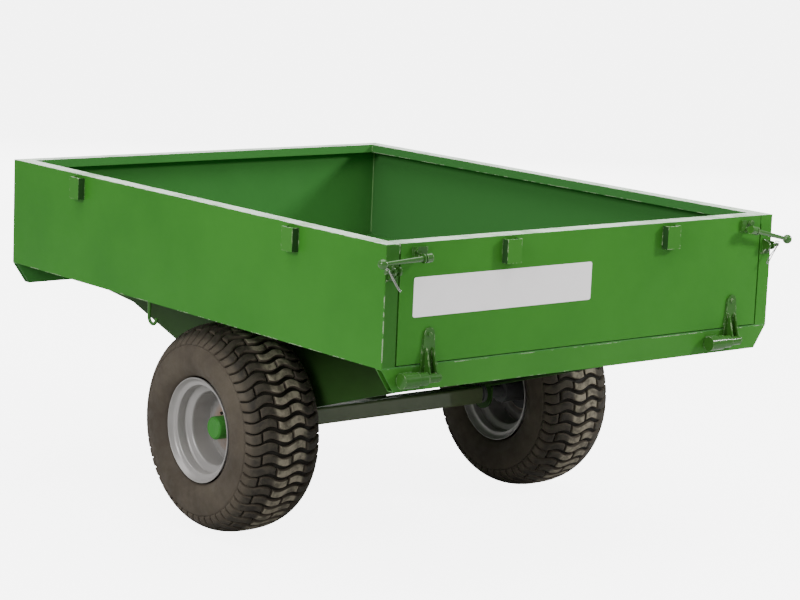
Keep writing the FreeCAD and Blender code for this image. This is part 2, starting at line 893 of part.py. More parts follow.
def hitch_clevis():
    """End plate with two flat fingers and an upright pin hole."""
    half_gap = clevis_gap / 2
    half = clevis_width / 2
    back_half = clevis_back_height / 2
    back = block(drawbar_end_from_rear, hitch_face_x, -half, half,
                 hitch_height - back_half, hitch_height + back_half)
    pieces = [back]
    for z0 in (hitch_height - half_gap - clevis_plate, hitch_height + half_gap):
        finger = block(drawbar_end_from_rear, hitch_pin_x, -half, half, z0, z0 + clevis_plate)
        tip = Part.makeCylinder(half, clevis_plate, vector(hitch_pin_x, 0, z0), Z_AXIS)
        pieces += [finger, tip]
    hole = Part.makeCylinder(clevis_pin_diameter / 2, clevis_back_height,
                             vector(hitch_pin_x, 0, hitch_height - back_half), Z_AXIS)
    return join(pieces).cut(hole)


def bed_rest():
    """Saddle on the drawbar that the bed's front rail comes down on."""
    half = drawbar_square / 2
    x1 = bed_length
    x0 = x1 - rest_length
    top = rail_base_z - seat_gap
    pieces = [block(x0, x1, -half - rest_plate, half + rest_plate, top - rest_top, top)]
    for side in (-1, 1):
        y0 = side * half
        y1 = side * (half + rest_plate)
        outline = [(x0, drawbar_z(x0)), (x1, drawbar_z(x1)), (x1, top), (x0, top)]
        pieces.append(plate_xz(outline, y0, y1))
    return join(pieces)


def bed_latch():
    """Upright plate on the drawbar with the bolt that locks the bed, drawn back."""
    bolt_z = rail_base_z + bed_latch_above_rail_base
    plate_x = bed_length + latch_plate_from_front
    foot = drawbar_square / 2
    foot_z = drawbar_top(plate_x + bed_latch_plate)
    shoulder = bed_latch_width / 2 - bed_latch_plate / 4
    outline = [
        (-foot, foot_z),
        (foot, foot_z),
        (shoulder, bolt_z),
        (-shoulder, bolt_z),
    ]
    plate = plate_yz(outline, plate_x, plate_x + bed_latch_plate)
    crown = rod_x(0, bolt_z, bed_latch_width, plate_x, plate_x + bed_latch_plate)
    middle = plate_x + bed_latch_plate / 2
    tube = rod_x(0, bolt_z, latch_tube_diameter, middle - latch_tube_length / 2,
                 middle + latch_tube_length / 2)
    bolt_x = bed_length + latch_bolt_clear
    bolt = rod_x(0, bolt_z, latch_bolt_diameter, bolt_x, bolt_x + latch_bolt_length)
    grip_x = bolt_x + latch_bolt_length - latch_grip_diameter
    grip = rod_y(grip_x, bolt_z, latch_grip_diameter, -latch_grip_length / 2,
                 latch_grip_length / 2)
    return join([plate, crown, tube, bolt, grip])


# ---------------------------------------------------------------- parking leg
leg_pin_z = drawbar_z(leg_pin_x) - drawbar_square / 2 - leg_pin_below_drawbar


def leg_bracket():
    """Two cheeks beside the drawbar, the leg's pin and the bar that the leg stops on."""
    half = drawbar_square / 2
    x0 = leg_pin_x - leg_cheek_length / 2
    x1 = leg_pin_x + leg_cheek_length / 2
    nose = leg_pin_diameter * 1.5
    pieces = []
    stop_z = leg_pin_z - leg_stop_below_pin
    stop_x = leg_pin_x + leg_square / 2 + leg_stop_diameter / 2 + seat_gap
    stop_x += math.tan(math.radians(leg_lean)) * leg_stop_below_pin + seat_gap
    for side in (-1, 1):
        outline = [
            (x0, drawbar_z(x0)),
            (x1, drawbar_z(x1)),
            (stop_x + leg_stop_diameter, leg_pin_z),
            (stop_x + leg_stop_diameter, stop_z - leg_stop_diameter),
            (stop_x - leg_stop_diameter, stop_z - leg_stop_diameter),
            (leg_pin_x - nose, leg_pin_z - nose),
        ]
        pieces.append(plate_xz(outline, side * half, side * (half + leg_cheek_plate)))
    reach = half + leg_cheek_plate
    pieces.append(rod_y(leg_pin_x, leg_pin_z, leg_pin_diameter, -reach, reach))
    pieces.append(rod_y(stop_x, stop_z, leg_stop_diameter, -reach, reach))
    return join(pieces)


def parking_leg():
    """Square tube with a round top and a bush, leaning a little forward, on a foot plate."""
    half = leg_square / 2
    length = (leg_pin_z - foot_plate) / math.cos(math.radians(leg_lean))
    body = block(-half, half, -half, half, -length - half, 0)
    top = rod_y(0, 0, leg_square, -half, half)
    hollow = block(-half + leg_wall, half - leg_wall, -half + leg_wall, half - leg_wall,
                   -length - half, -half)
    tube = join([body, top]).cut(hollow)
    bush_half = drawbar_square / 2 - seat_gap
    bush = rod_y(0, 0, leg_bush_diameter, -bush_half, bush_half)
    bore = rod_y(0, 0, leg_pin_diameter + 2 * hinge_fit, -bush_half, bush_half)
    leg = join([tube, bush]).cut(bore)
    leg.rotate(vector(0, 0, 0), Y_AXIS, -leg_lean)
    leg.translate(vector(leg_pin_x, 0, leg_pin_z))
    below = block(leg_pin_x - length, leg_pin_x + length, -leg_square, leg_square,
                  -leg_square, foot_plate)
    return leg.cut(below)


def leg_foot():
    """Flat plate under the leg."""
    middle = leg_pin_x + math.tan(math.radians(leg_lean)) * leg_pin_z
    return block(middle - foot_length / 2, middle + foot_length / 2, -foot_width / 2,
                 foot_width / 2, 0, foot_plate)


# ---------------------------------------------------------------- all nodes
def build():
    """Every sub-part by its node name."""
    nodes = {
        "floor_panel": floor_panel(),
        "front_wall": front_wall(),
        "rear_rail": rail(0),
        "front_rail": rail(bed_length - rail_depth),
        "cross_members": Part.makeCompound([
            cross_member(cross_member_rear_x),
            cross_member(cross_member_front_x),
        ]),
        "pivot_bushes": Part.makeCompound([pivot_bush(1), pivot_bush(-1)]),
        "rope_hooks": Part.makeCompound([rope_hook(1), rope_hook(-1)]),
        "tailgate_panel": tailgate_panel(),
        "gate_stake_pockets": gate_pockets(),
        "axle_tube": axle_tube(),
        "axle_gussets": axle_gussets(),
        "drawbar": drawbar(),
        "hitch_clevis": hitch_clevis(),
        "bed_rest": bed_rest(),
        "bed_latch": bed_latch(),
        "leg_bracket": leg_bracket(),
        "parking_leg": parking_leg(),
        "leg_foot": leg_foot(),
    }
    droop = {"left": lever_droop_left, "right": lever_droop_right}
    for name, side in (("left", 1), ("right", -1)):
        nodes["side_wall_" + name] = side_wall(side)
        nodes["corner_post_" + name] = corner_post(side)
        nodes["frame_plate_" + name] = frame_plate(side)
        nodes["stake_pockets_" + name] = side_pockets(side)
        nodes["hinge_strap_" + name] = hinge_strap(side * hinge_y)
        nodes["hinge_pin_" + name] = hinge_pin(side * hinge_y)
        nodes["latch_lever_" + name] = latch_lever(side, droop[name])
        nodes["latch_keeper_" + name] = latch_keeper(side, droop[name])
        nodes["spindle_" + name] = spindle(side)
        nodes["tyre_" + name] = tyre(side)
        nodes["rim_" + name] = rim(side)
        nodes["hub_" + name] = hub(side)
        nodes["hub_cap_" + name] = hub_cap(side)
    return nodes


def write(nodes):
    """Move every sub-part to the trailer's origin and write its file."""
    os.makedirs("parts", exist_ok=True)
    for name, shape in nodes.items():
        shape.translate(vector(-origin_x, 0, 0))
        shape.exportStep("parts/" + name + ".step")


write(build())
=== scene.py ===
import bisect
import json
import math

import bmesh
import bpy
from mathutils import Matrix, Vector, noise


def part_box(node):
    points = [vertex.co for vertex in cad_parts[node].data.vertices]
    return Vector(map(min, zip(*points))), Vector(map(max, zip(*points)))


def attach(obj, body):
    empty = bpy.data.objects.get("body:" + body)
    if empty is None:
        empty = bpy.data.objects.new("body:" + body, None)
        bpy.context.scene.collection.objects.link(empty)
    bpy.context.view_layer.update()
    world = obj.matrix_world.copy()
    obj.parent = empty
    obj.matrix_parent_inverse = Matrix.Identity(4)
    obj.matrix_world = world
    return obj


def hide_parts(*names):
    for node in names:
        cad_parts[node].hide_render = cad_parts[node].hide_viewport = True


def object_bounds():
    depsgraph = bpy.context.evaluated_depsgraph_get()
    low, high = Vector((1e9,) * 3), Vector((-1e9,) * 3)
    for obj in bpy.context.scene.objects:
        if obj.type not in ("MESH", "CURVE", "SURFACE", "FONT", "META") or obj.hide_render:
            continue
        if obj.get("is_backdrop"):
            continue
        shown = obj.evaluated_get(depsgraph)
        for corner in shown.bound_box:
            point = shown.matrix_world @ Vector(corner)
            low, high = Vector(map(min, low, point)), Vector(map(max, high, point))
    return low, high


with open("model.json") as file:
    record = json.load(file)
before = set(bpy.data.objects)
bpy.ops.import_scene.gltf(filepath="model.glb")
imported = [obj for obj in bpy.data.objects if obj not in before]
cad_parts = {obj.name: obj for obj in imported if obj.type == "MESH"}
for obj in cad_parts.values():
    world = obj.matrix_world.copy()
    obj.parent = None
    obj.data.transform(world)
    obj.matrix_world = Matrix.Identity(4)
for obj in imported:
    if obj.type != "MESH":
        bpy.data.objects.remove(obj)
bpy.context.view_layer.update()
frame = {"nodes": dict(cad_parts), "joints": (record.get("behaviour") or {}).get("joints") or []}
nodes = frame["nodes"]


# ---- Studio -------------------------------------------------------------------------------
# A pale floor with soft lamps above and round the trailer, so that the painted sheet shines
# along its top edges, and a long lens that stands off the trailer's rear left corner.
def emit_from(name, place, aim, wide, high, watts):
    """A soft white rectangle of light, out of the camera's sight."""
    lamp = bpy.data.lights.new(name, "AREA")
    lamp.shape = "RECTANGLE"
    lamp.size, lamp.size_y = wide, high
    lamp.energy = watts
    holder = bpy.data.objects.new(name, lamp)
    holder.location = place
    holder.rotation_mode = "QUATERNION"
    holder.rotation_quaternion = (Vector(aim) - Vector(place)).to_track_quat("-Z", "Y")
    holder.visible_camera = False
    bpy.context.scene.collection.objects.link(holder)


emit_from("overhead_lamp", (-0.4, 0.2, 4.2), (0, 0, 0.4), 5.0, 4.0, 240)
emit_from("key_lamp", (-2.8, -2.5, 2.2), (-1.0, -0.3, 0.5), 0.5, 0.5, 92)
emit_from("left_lamp", (-1.9, 5.2, 3.0), (-0.5, 0, 0.5), 2.2, 1.6, 190)
emit_from("far_lamp", (4.8, -4.2, 2.3), (-0.2, 0, 0.6), 5.0, 2.4, 260)

world = bpy.data.worlds.new("pale_room")
world.use_nodes = True
room = world.node_tree
soft_light = room.nodes["Background"]
soft_light.inputs["Color"].default_value = (1, 1, 1, 1)
soft_light.inputs["Strength"].default_value = 0.45
white_wall = room.nodes.new("ShaderNodeBackground")
white_wall.inputs["Color"].default_value = (1, 1, 1, 1)
white_wall.inputs["Strength"].default_value = 7.0
seen = room.nodes.new("ShaderNodeLightPath")
either = room.nodes.new("ShaderNodeMixShader")
room.links.new(seen.outputs["Is Camera Ray"], either.inputs[0])
room.links.new(soft_light.outputs[0], either.inputs[1])
room.links.new(white_wall.outputs[0], either.inputs[2])
room.links.new(either.outputs[0], room.nodes["World Output"].inputs["Surface"])
bpy.context.scene.world = world

floor_mesh = bpy.data.meshes.new("studio_floor")
floor_reach = 60
floor_mesh.from_pydata([(-floor_reach, -floor_reach, 0), (floor_reach, -floor_reach, 0),
                        (floor_reach, floor_reach, 0), (-floor_reach, floor_reach, 0)],
                       [], [(0, 1, 2, 3)])
studio_floor = bpy.data.objects.new("studio_floor", floor_mesh)
bpy.context.scene.collection.objects.link(studio_floor)
floor_paint = bpy.data.materials.new("pale_floor")
floor_paint.use_nodes = True
floor_shader = floor_paint.node_tree.nodes["Principled BSDF"]
floor_shader.inputs["Base Color"].default_value = (0.62, 0.62, 0.62, 1)
floor_shader.inputs["Roughness"].default_value = 0.9
floor_shader.inputs["Specular IOR Level"].default_value = 0.1
floor_seen = floor_paint.node_tree.nodes.new("ShaderNodeLightPath")
floor_paint.node_tree.links.new(floor_seen.outputs["Is Camera Ray"],
                                floor_shader.inputs["Emission Color"])
floor_shader.inputs["Emission Strength"].default_value = 5.6
floor_mesh.materials.append(floor_paint)
studio_floor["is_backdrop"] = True

lens = bpy.data.cameras.new("long_lens")
lens.sensor_width = 36
lens.lens = 111.2
lens.clip_end = 200
camera = bpy.data.objects.new("long_lens", lens)
# Sight is the way the lens looks, and lens_down the way that the foot of the view points.
sight = Vector((0.7647, -0.6210, -0.1721)).normalized()
lens_down = Vector((-0.1598, 0.0760, -0.9842))
lens_down = (lens_down - sight * lens_down.dot(sight)).normalized()
lens_right = lens_down.cross(sight)
stand = Matrix((lens_right, -lens_down, -sight)).transposed().to_4x4()
stand.translation = Vector((-4.8343, 3.5373, 1.4745))
camera.matrix_world = stand
bpy.context.scene.collection.objects.link(camera)
bpy.context.scene.camera = camera


# ---- Green painted steel ------------------------------------------------------------------
# The box, the frame and the fittings are mild steel under one coat of gloss green, sprayed
# after welding: a faint orange peel, dull smudges from handling, and thin scuffed corners. The
# sheets' edges are lightened, partly as wear and partly as a painted highlight. The frame, the
# fittings, the left post and the pockets' narrow sides are darker as painted shade, and the faces
# inside the box take a greyer, bluer green as painted reflection and shade.
def new_group(name, inputs, outputs):
    """A shader node group, with its inlet and outlet."""
    group = bpy.data.node_groups.new(name, "ShaderNodeTree")
    for label, kind, value in inputs:
        socket = group.interface.new_socket(label, in_out="INPUT", socket_type=kind)
        socket.default_value = value
    for label, kind in outputs:
        group.interface.new_socket(label, in_out="OUTPUT", socket_type=kind)
    return group, group.nodes.new("NodeGroupInput"), group.nodes.new("NodeGroupOutput")


def add(tree, kind, links=None, **values):
    """A node with its settings, whose inputs are linked to sockets or set to values."""
    node = tree.nodes.new(kind)
    for key, value in values.items():
        setattr(node, key, value)
    for key, source in (links or {}).items():
        if isinstance(source, bpy.types.NodeSocket):
            tree.links.new(source, node.inputs[key])
        else:
            node.inputs[key].default_value = source
    return node


def mix_colour(tree, factor, first, second):
    """The socket of a colour that goes from first to second as factor rises."""
    node = add(tree, "ShaderNodeMix", data_type="RGBA")
    for place, value in ((0, factor), (6, first), (7, second)):
        if isinstance(value, bpy.types.NodeSocket):
            tree.links.new(value, node.inputs[place])
        else:
            node.inputs[place].default_value = value
    return node.outputs[2]


mottle, inlet, outlet = new_group(
    "cloudy_mottle",
    [("Scale", "NodeSocketFloat", 4.0), ("Low", "NodeSocketFloat", 0.4),
     ("High", "NodeSocketFloat", 0.7)],
    [("Mask", "NodeSocketFloat")])
spot = add(mottle, "ShaderNodeTexCoord")
cloud = add(mottle, "ShaderNodeTexNoise", {"Vector": spot.outputs["Object"],
                                           "Scale": inlet.outputs["Scale"],
                                           "Detail": 6.0, "Roughness": 0.62})
ramp = add(mottle, "ShaderNodeMapRange", {"Value": cloud.outputs["Fac"],
                                          "From Min": inlet.outputs["Low"],
                                          "From Max": inlet.outputs["High"]},
           interpolation_type="SMOOTHSTEP")
mottle.links.new(ramp.outputs["Result"], outlet.inputs["Mask"])

# Edge colour mask: partly scuffed wear, partly a painted highlight where edges catch the light.
wear_and_glint_edges, inlet, outlet = new_group(
    "scuffed_and_glinting_edges",
    [("Width", "NodeSocketFloat", 0.003), ("Scale", "NodeSocketFloat", 60.0),
     ("Amount", "NodeSocketFloat", 0.5)],
    [("Mask", "NodeSocketFloat")])
facing = add(wear_and_glint_edges, "ShaderNodeNewGeometry")
eased = add(wear_and_glint_edges, "ShaderNodeBevel", {"Radius": inlet.outputs["Width"]}, samples=4)
across = add(wear_and_glint_edges, "ShaderNodeVectorMath", {0: eased.outputs["Normal"],
                                             1: facing.outputs["Normal"]},
             operation="DOT_PRODUCT")
edge = add(wear_and_glint_edges, "ShaderNodeMapRange", {"Value": across.outputs["Value"],
                                         "From Min": 0.985, "From Max": 0.90})
spot = add(wear_and_glint_edges, "ShaderNodeTexCoord")
grit = add(wear_and_glint_edges, "ShaderNodeTexNoise", {"Vector": spot.outputs["Object"],
                                         "Scale": inlet.outputs["Scale"], "Detail": 8.0,
                                         "Roughness": 0.7})
gritty = add(wear_and_glint_edges, "ShaderNodeMapRange", {"Value": grit.outputs["Fac"], "From Min": 0.5,
                                           "From Max": 0.62})
both = add(wear_and_glint_edges, "ShaderNodeMath", {0: edge.outputs["Result"], 1: gritty.outputs["Result"]},
           operation="MULTIPLY")
scaled = add(wear_and_glint_edges, "ShaderNodeMath", {0: both.outputs["Value"], 1: inlet.outputs["Amount"]},
             operation="MULTIPLY", use_clamp=True)
wear_and_glint_edges.links.new(scaled.outputs["Value"], outlet.inputs["Mask"])


def use_group(tree, group, **values):
    """Places a group in a material with its own values and gives its outlets."""
    node = tree.nodes.new("ShaderNodeGroup")
    node.node_tree = group
    for key, value in values.items():
        node.inputs[key].default_value = value
    return node.outputs


# Painted shade: the near-black green put on the stake pockets' narrow sides.
painted_shade_colour = (0.019, 0.060, 0.016)


def gloss_paint(name, colour, shade, wear_and_glint_colour, smooth=0.30, coat=0.0, peel=0.03, wear_and_glint=0.6,
                shine=0.08, edge=0.0016, grain=85.0, shaded_sides=None, inside_sheen_and_shade=None):
    """Sprayed gloss paint: a clouded base colour, dull smudges, orange peel, and edges lightened
    partly as wear and partly as a painted highlight. A named axis, X or Y, is the way that a
    piece's narrow sides face, and these get painted shade; an inside colour gives side sheets a
    greyer, bluer green on the faces that look into the box, as painted reflection and shade."""
    paint = bpy.data.materials.new(name)
    paint.use_nodes = True
    tree = paint.node_tree
    shader = tree.nodes["Principled BSDF"]
    clouds = use_group(tree, mottle, Scale=2.6, Low=0.35, High=0.72)["Mask"]
    smudge = use_group(tree, mottle, Scale=11.0, Low=0.46, High=0.70)["Mask"]
    wear_and_glint_mask = use_group(tree, wear_and_glint_edges, Width=edge, Scale=grain, Amount=wear_and_glint)["Mask"]
    base = mix_colour(tree, clouds, (*colour, 1), (*shade, 1))
    spots = add(tree, "ShaderNodeTexCoord")
    # Painted shade on the faces that look along the named axis.
    if shaded_sides:
        turned = add(tree, "ShaderNodeSeparateXYZ", {"Vector": spots.outputs["Normal"]})
        narrow = add(tree, "ShaderNodeMath", {0: turned.outputs[shaded_sides]}, operation="ABSOLUTE")
        base = mix_colour(tree, narrow.outputs["Value"], base, (*painted_shade_colour, 1))
    # Painted reflection and shade: faces that look into the box turn greyer and bluer.
    if inside_sheen_and_shade:
        turned = add(tree, "ShaderNodeSeparateXYZ", {"Vector": spots.outputs["Normal"]})
        place = add(tree, "ShaderNodeSeparateXYZ", {"Vector": spots.outputs["Object"]})
        outward = add(tree, "ShaderNodeMath", {0: turned.outputs["Y"], 1: place.outputs["Y"]},
                      operation="MULTIPLY")
        inward = add(tree, "ShaderNodeMath", {0: outward.outputs["Value"], 1: -0.1},
                     operation="LESS_THAN")
        base = mix_colour(tree, inward.outputs["Value"], base, (*inside_sheen_and_shade, 1))
    # Lightened edges: partly wear, partly a painted highlight.
    base = mix_colour(tree, wear_and_glint_mask, base, (*wear_and_glint_colour, 1))
    tree.links.new(base, shader.inputs["Base Color"])
    rough = add(tree, "ShaderNodeMapRange", {"Value": smudge, "To Min": smooth,
                                             "To Max": smooth + 0.13})
    tree.links.new(rough.outputs["Result"], shader.inputs["Roughness"])
    skin = add(tree, "ShaderNodeTexNoise", {"Vector": spots.outputs["Object"],
                                            "Scale": 260.0, "Detail": 2.0})
    dents = add(tree, "ShaderNodeTexNoise", {"Vector": spots.outputs["Object"],
                                             "Scale": 3.5, "Detail": 1.0})
    wavy = add(tree, "ShaderNodeBump", {"Height": dents.outputs["Fac"], "Strength": 0.12,
                                        "Distance": 0.006})
    bump = add(tree, "ShaderNodeBump", {"Height": skin.outputs["Fac"], "Strength": peel,
                                        "Distance": 0.001, "Normal": wavy.outputs["Normal"]})
    tree.links.new(bump.outputs["Normal"], shader.inputs["Normal"])
    shader.inputs["Specular IOR Level"].default_value = shine
    shader.inputs["Coat Weight"].default_value = coat
    shader.inputs["Coat Roughness"].default_value = 0.08
    return paint


# Painted reflection and shade: a greyer, bluer green for the floor and front wall, seen from inside
# the box.
bed_green = gloss_paint("bed_green", (0.050, 0.196, 0.043), (0.042, 0.168, 0.037),
                        (0.16, 0.30, 0.10))
gate_green = gloss_paint("gate_green", (0.043, 0.202, 0.024), (0.036, 0.172, 0.021),
                         (0.16, 0.30, 0.10))
# Painted shade: the left corner post is a darker copy of the gate's green.
post_shade_green = gloss_paint("post_shade_green", (0.035, 0.146, 0.021), (0.029, 0.120, 0.018),
                         (0.16, 0.30, 0.10))
# Strong light edges on the side walls: a painted highlight along their folds, with some wear.
wall_green = gloss_paint("wall_green", (0.040, 0.200, 0.022), (0.033, 0.170, 0.019),
                         (0.50, 0.60, 0.42), wear_and_glint=3.0, edge=0.0026, grain=24.0,
                         inside_sheen_and_shade=(0.050, 0.176, 0.046))
strip_pair = ((0.048, 0.202, 0.027), (0.040, 0.172, 0.023))
# Strong light edges on the rear rail: a painted highlight along its edges, with some chipped wear.
rail_green = gloss_paint("rail_green", *strip_pair, (0.58, 0.62, 0.50), wear_and_glint=1.0,
                         edge=0.0030, grain=24.0)
# The pockets' narrow sides are painted near-black green as painted shade.
side_pocket_green = gloss_paint("side_pocket_green", *strip_pair, (0.42, 0.56, 0.32),
                                wear_and_glint=1.0, edge=0.0030, shaded_sides="X")
gate_pocket_green = gloss_paint("gate_pocket_green", *strip_pair, (0.42, 0.56, 0.32),
                                wear_and_glint=1.0, edge=0.0030, shaded_sides="Y")
# The frame under the bed is a much darker green: partly its own duller paint, partly painted shade.
frame_shade_green = gloss_paint("frame_shade_green", (0.030, 0.080, 0.018), (0.026, 0.058, 0.016),
                          (0.12, 0.20, 0.08), smooth=0.38)
# Painted shade: the fittings' green is a darker copy of the box's green.
fitting_painted_shade_trio = ((0.036, 0.132, 0.019), (0.026, 0.098, 0.015), (0.36, 0.46, 0.28))
fitting_green = gloss_paint("fitting_green", *fitting_painted_shade_trio, smooth=0.24, coat=0.30,
                            wear_and_glint=1.0, edge=0.0028)
lever_green = gloss_paint("lever_green", *fitting_painted_shade_trio, smooth=0.18, coat=0.85, wear_and_glint=1.0,
                          edge=0.0028)
axle_green = gloss_paint("axle_green", (0.092, 0.116, 0.056), (0.054, 0.076, 0.034),
                         (0.20, 0.22, 0.14), smooth=0.42, shine=0.15, coat=0.4)


MM = 0.001
fold_edge, pocket_edge, frame_edge, axle_edge = 1.4, 0.6, 0.8, 1.0
as_packed = 0


def finish_nodes(paint, edge_mm, *names):
    """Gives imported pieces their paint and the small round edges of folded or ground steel."""
    for name in names:
        piece = nodes[name]
        piece.data.materials.clear()
        piece.data.materials.append(paint)
        if edge_mm != as_packed:
            soft = piece.modifiers.new("round_edges", "BEVEL")
            soft.width = edge_mm * MM
            soft.segments = 2
            soft.limit_method = "ANGLE"
            soft.angle_limit = math.radians(35)
            soft.harden_normals = True


finish_nodes(bed_green, fold_edge, "floor_panel", "front_wall", "front_rail")
finish_nodes(gate_green, fold_edge, "tailgate_panel", "corner_post_right")
finish_nodes(post_shade_green, fold_edge, "corner_post_left")
finish_nodes(wall_green, fold_edge, "side_wall_left", "side_wall_right")
finish_nodes(rail_green, fold_edge, "rear_rail")
finish_nodes(side_pocket_green, pocket_edge, "stake_pockets_left", "stake_pockets_right")
finish_nodes(gate_pocket_green, pocket_edge, "gate_stake_pockets")
finish_nodes(frame_shade_green, frame_edge, "frame_plate_left", "frame_plate_right",
             "cross_members", "axle_gussets", "drawbar", "hitch_clevis", "bed_rest",
             "bed_latch", "leg_bracket", "parking_leg", "leg_foot")
finish_nodes(axle_green, axle_edge, "axle_tube")
finish_nodes(fitting_green, as_packed, "rope_hooks", "hinge_strap_left",
             "hinge_strap_right", "hinge_pin_left", "hinge_pin_right")
finish_nodes(lever_green, as_packed, "latch_lever_left", "latch_lever_right",
             "latch_keeper_left", "latch_keeper_right")


# ---- Weld beads ---------------------------------------------------------------------------
# The sheets are seam-welded in the box's front corners and across the mitres of its folded
# rims before painting. The beads are rippled steel under the green, painted lighter as a
# painted highlight where they catch the light.
def weld_bead(verts, faces, path, size, ripple=3.2, seed=0.0):
    """Adds a rippled tube along a run of points, in millimetres."""
    points = [Vector(p) for p in path]
    for start, end in zip(points, points[1:]):
        rings = []
        run = end - start
        steps = max(2, int(run.length / (ripple / 3)))
        side = run.orthogonal().normalized()
        up = run.cross(side).normalized()
        for i in range(steps + 1):
            along = i / steps
            phase = along * run.length / ripple * math.pi + seed
            size_here = size * (0.72 + 0.28 * abs(math.sin(phase)))
            size_here *= 0.85 + 0.3 * noise.noise(Vector((phase * 0.7, seed, 1.3)))
            if i in (0, steps):
                size_here *= 0.35
            ring = []
            for turn in range(8):
                angle = turn * math.pi / 4
                out = side * math.cos(angle) + up * math.sin(angle)
                ring.append(len(verts))
                verts.append((start + run * along + out * size_here) * MM)
            rings.append(ring)
        for first, second in zip(rings, rings[1:]):
            for k in range(8):
                faces.append((first[k], first[(k + 1) % 8], second[(k + 1) % 8], second[k]))
        faces.append(tuple(reversed(rings[0])))
        faces.append(tuple(rings[-1]))


def mesh_piece(name, verts, faces, material, body, smooth=True, replaces=()):
    """A mesh of its own that rides a body."""
    mesh = bpy.data.meshes.new(name)
    mesh.from_pydata([tuple(v) for v in verts], [], faces)
    mesh.materials.append(material)
    if smooth:
        mesh.shade_smooth()
    piece = bpy.data.objects.new(name, mesh)
    bpy.context.scene.collection.objects.link(piece)
    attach(piece, body)
    if replaces:
        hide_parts(*replaces)
    return piece


def corners_mm(node):
    """A node's low and high corners, in millimetres."""
    low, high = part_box(node)
    return [v / MM for v in low], [v / MM for v in high]


wall_top = corners_mm("side_wall_left")[1][2]
floor_low, floor_high = corners_mm("floor_panel")
front_inner_x = floor_high[0]
wall_inner_y = floor_high[1]
rim_fold = 34
corner_bead, mitre_bead, top_bead = 2.2, 2.4, 1.1
verts, faces = [], []
for side in (-1, 1):
    corner_y = side * (wall_inner_y - 1)
    weld_bead(verts, faces, [(front_inner_x - 1, corner_y, floor_high[2] + 6),
                             (front_inner_x - 1, corner_y, wall_top - 24)],
              corner_bead, seed=side)
    lip_x, lip_y = front_inner_x - rim_fold, side * (wall_inner_y - rim_fold)
    weld_bead(verts, faces, [(lip_x, lip_y, wall_top - 19), (lip_x, lip_y, wall_top - 2.6)],
              mitre_bead, seed=3 + side)
    weld_bead(verts, faces, [(lip_x + 1, lip_y, wall_top - 1.2),
                             (front_inner_x, corner_y, wall_top - 1.2)],
              top_bead, seed=5 + side)
# Painted highlight: the beads' green is much lighter than the box's.
weld_glint_green = gloss_paint("weld_glint_green", (0.16, 0.33, 0.12), (0.07, 0.20, 0.05),
                         (0.40, 0.50, 0.30), coat=0.6)
mesh_piece("corner_welds", verts, faces, weld_glint_green, "bed")


# ---- Wheels: tyres ------------------------------------------------------------------------
# Turf tyres of black rubber on an 8 inch rim. Waved bars run across the whole tread in six
# columns, joined in pairs like bricks, and the outer ones end on the round shoulder. The
# middle columns are rubbed brown-grey with dust, the rest stays dark, and the grooves are
# darkened to near black as painted shade.
tyre_low, tyre_high = corners_mm("tyre_left")
axle_x = (tyre_low[0] + tyre_high[0]) / 2
axle_z = (tyre_low[2] + tyre_high[2]) / 2
wheel_y = (tyre_low[1] + tyre_high[1]) / 2
tyre_r = (tyre_high[0] - tyre_low[0]) / 2
tyre_half = (tyre_high[1] - tyre_low[1]) / 2
SIDES = (("left", 1), ("right", -1))
waist_r = 155.0
squareness = 0.8
arc_steps = 48
bead_line = ((105.1, 146), (103.3, 138), (100.0, 130.8), (95.6, 124.6), (91.0, 119.6),
             (86.5, 117.3))
column = 37.0
tread_end = 114.0
tread_bars = 54
tread_wave = 5.8
groove_depth = 7.2
brick_gap = 6.0
crown_half_gap = 5.6
shoulder_half_gap = 2.5
wall_sink = 2.4
ridge_at, ridge_high, ridge_wide = 185, 0.9, 1.8

half_skin = []
for step in range(arc_steps + 1):
    turn = math.pi / 2 * step / arc_steps
    crown_drop = math.cos(turn) ** squareness
    half_skin.append(Vector((tyre_half * math.sin(turn) ** squareness,
                             waist_r + (tyre_r - waist_r) * crown_drop)))
half_skin += [Vector(p) for p in bead_line]
skin_length = [0.0]
for first, second in zip(half_skin, half_skin[1:]):
    skin_length.append(skin_length[-1] + (second - first).length)


def skin_at(s):
    """Point and outward normal of the tyre's outline, s millimetres round from the crown."""
    side = -1 if s < 0 else 1
    s = min(abs(s), skin_length[-1] - 0.01)
    i = bisect.bisect_right(skin_length, s) - 1
    t = (s - skin_length[i]) / (skin_length[i + 1] - skin_length[i])
    here = half_skin[i].lerp(half_skin[i + 1], t)
    if i == 0:
        along = Vector((1, 0)).lerp((half_skin[2] - half_skin[1]).normalized(), t / 2)
    else:
        before = half_skin[i] - half_skin[i - 1]
        after = half_skin[min(i + 2, len(half_skin) - 1)] - half_skin[i + 1]
        along = before.normalized().lerp(after.normalized(), t) if after.length else before
    along.normalize()
    return Vector((here.x * side, here.y)), Vector((-along.y * side, along.x))


def ease(low, high, value):
    """Smooth step from 0 at low to 1 at high."""
    t = min(max((value - low) / (high - low), 0), 1)
    return t * t * (3 - 2 * t)


def on_tyre(side, s, depth, angle):
    """The place of a point at a depth under the outline, turned about the axle, in metres."""
    place, normal = skin_at(s)
    at = place - normal * depth
    return Vector((axle_x + at.y * math.sin(angle), side * wheel_y + side * at.x,
                   axle_z + at.y * math.cos(angle))) * MM


def floor_depth(s):
    """Depth of the grooves, which run out on the shoulder."""
    return groove_depth * (1 - ease(107, 120, abs(s)))


def bar_edge(side, s, edge, inset):
    """Angle from a bar's middle to its front or rear edge, with the wave of the tread."""
    radius = skin_at(s)[0].y
    half_gap = crown_half_gap + (shoulder_half_gap - crown_half_gap) * ease(46, 94, abs(s))
    half = math.pi / tread_bars - (half_gap + inset) / radius
    wave = -side * tread_wave / tyre_r * math.sin(math.pi * s / column)
    return wave + edge * half


